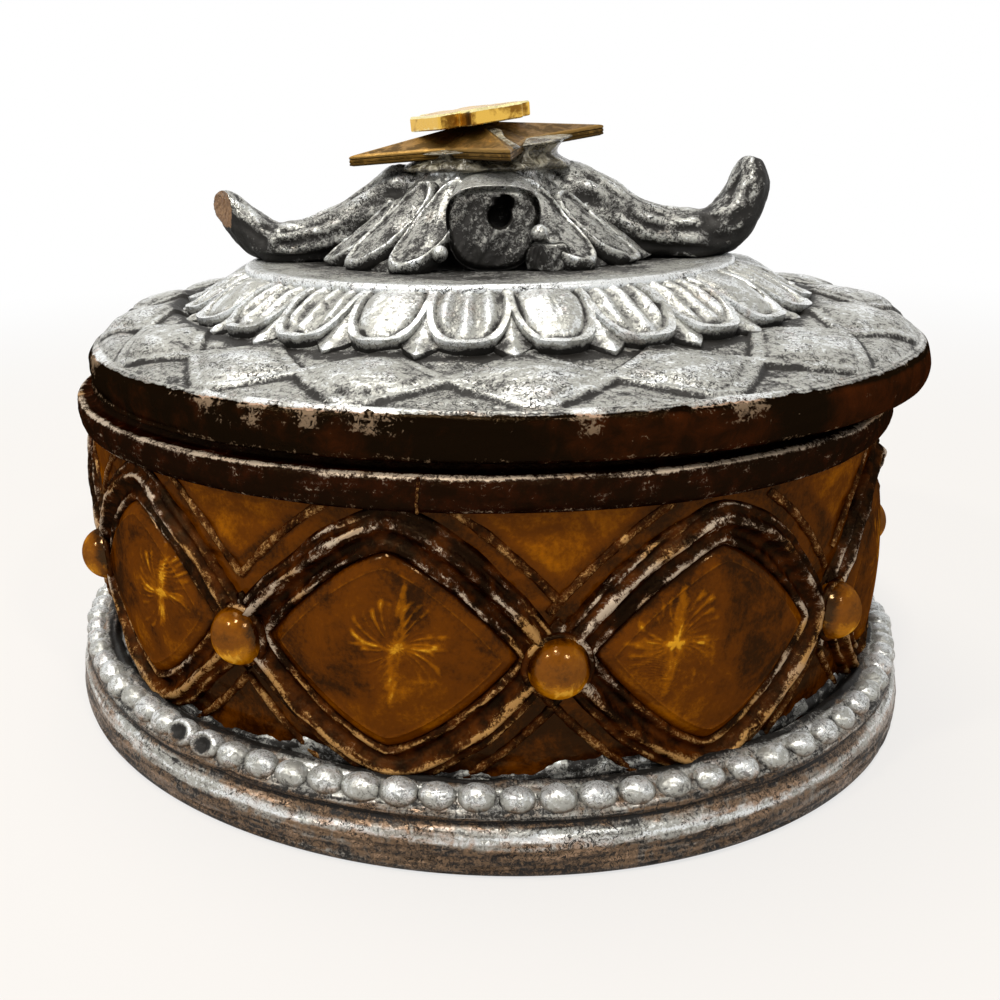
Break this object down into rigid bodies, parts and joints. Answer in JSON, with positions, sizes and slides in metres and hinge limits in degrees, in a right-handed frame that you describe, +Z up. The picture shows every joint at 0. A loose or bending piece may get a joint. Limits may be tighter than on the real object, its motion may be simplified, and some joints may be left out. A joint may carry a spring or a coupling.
{
  "type": "lidded trinket box",
  "caption": "Round amber trinket box with a painted diamond lattice, a beaded foot and a loose lid that lifts off by a horned handle.",
  "frame": {"origin": "centre of the base's underside, on the bowl's axis", "axes": "+Z up along the bowl's axis; -Y towards the front of the picture, +X to its right"},
  "size_m": [0.1304, 0.1304, 0.0855],
  "materials": {
    "felt": "brown felt",
    "silver_paint": "cast resin, antiqued silver paint",
    "amber_resin": "translucent amber cast resin",
    "dark_paint": "cast resin, black-brown paint with silver rubs",
    "clear_glue": "clear hot glue",
    "aged_brass": "aged brass",
    "bright_brass": "bright gilt brass"
  },
  "bodies": {
    "bowl": {"base_pad": "felt", "base_foot": "silver_paint", "pearl_border": "silver_paint", "amber_bowl": "amber_resin", "lattice_ribs": "dark_paint", "diamond_lenses": "amber_resin", "cabochons": "amber_resin", "bowl_collar": "dark_paint"},
    "lid": {"lid_plate": "silver_paint", "lid_bands": "silver_paint", "petal_collar": "silver_paint", "petal_points": "silver_paint", "handle_plinth": "silver_paint", "handle_core": "silver_paint", "horn_left": "silver_paint", "horn_right": "silver_paint", "horn_back": "silver_paint", "horn_stub": "silver_paint", "handle_lappets": "silver_paint", "handle_beads": "silver_paint", "glue_bead": "clear_glue", "brass_star": "aged_brass", "brass_medallion": "bright_brass"}
  },
  "joints": [
    {"name": "lid_lift", "type": "slide", "parent": "bowl", "child": "lid", "axis": [0, 0, 1], "range_m": [0, 0.06]}
  ]
}
